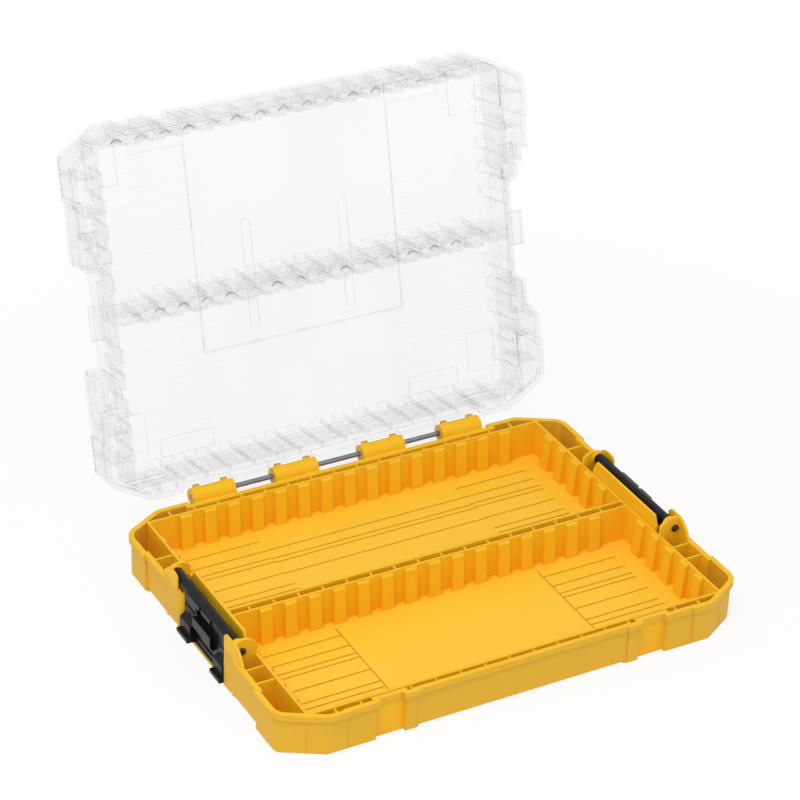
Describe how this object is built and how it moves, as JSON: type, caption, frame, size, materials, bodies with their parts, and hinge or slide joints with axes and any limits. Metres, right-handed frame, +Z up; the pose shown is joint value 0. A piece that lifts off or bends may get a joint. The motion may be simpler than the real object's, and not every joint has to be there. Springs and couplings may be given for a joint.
{
  "type": "drill bit case",
  "caption": "Empty double-walled drill bit case with a clear lid standing open on a steel hinge rod and a window latch hanging at each side.",
  "frame": {"origin": "middle of the underside of the base tray", "axes": "+X across the width to the right-hand latch, +Y from the front edge towards the hinge, +Z up; the lid stands open behind the hinge"},
  "size_m": [0.3124, 0.3248, 0.2594],
  "materials": {
    "tray_plastic": "satin moulded, warm yellow",
    "clear_plastic": "clear, polished",
    "rod_steel": "drawn wire, plain",
    "latch_plastic": "black, lightly textured",
    "pin_steel": "blackened"
  },
  "bodies": {
    "base": {"base_tray": "tray_plastic", "hinge_rod": "rod_steel", "latch_pin_left": "pin_steel", "latch_pin_right": "pin_steel"},
    "lid": {"lid": "clear_plastic"},
    "latch_left": {"latch_left": "latch_plastic"},
    "latch_right": {"latch_right": "latch_plastic"}
  },
  "joints": [
    {"name": "lid_hinge", "type": "hinge", "parent": "base", "child": "lid", "pos_m": [0, 0.1213, 0.0275], "axis": [1, 0, 0], "range_deg": [0, 103.7]},
    {"name": "latch_left_hinge", "type": "hinge", "parent": "base", "child": "latch_left", "pos_m": [-0.148, 0, 0.0318], "axis": [0, 1, 0], "range_deg": [0, 180]},
    {"name": "latch_right_hinge", "type": "hinge", "parent": "base", "child": "latch_right", "pos_m": [0.148, 0, 0.0318], "axis": [0, -1, 0], "range_deg": [0, 180]}
  ]
}
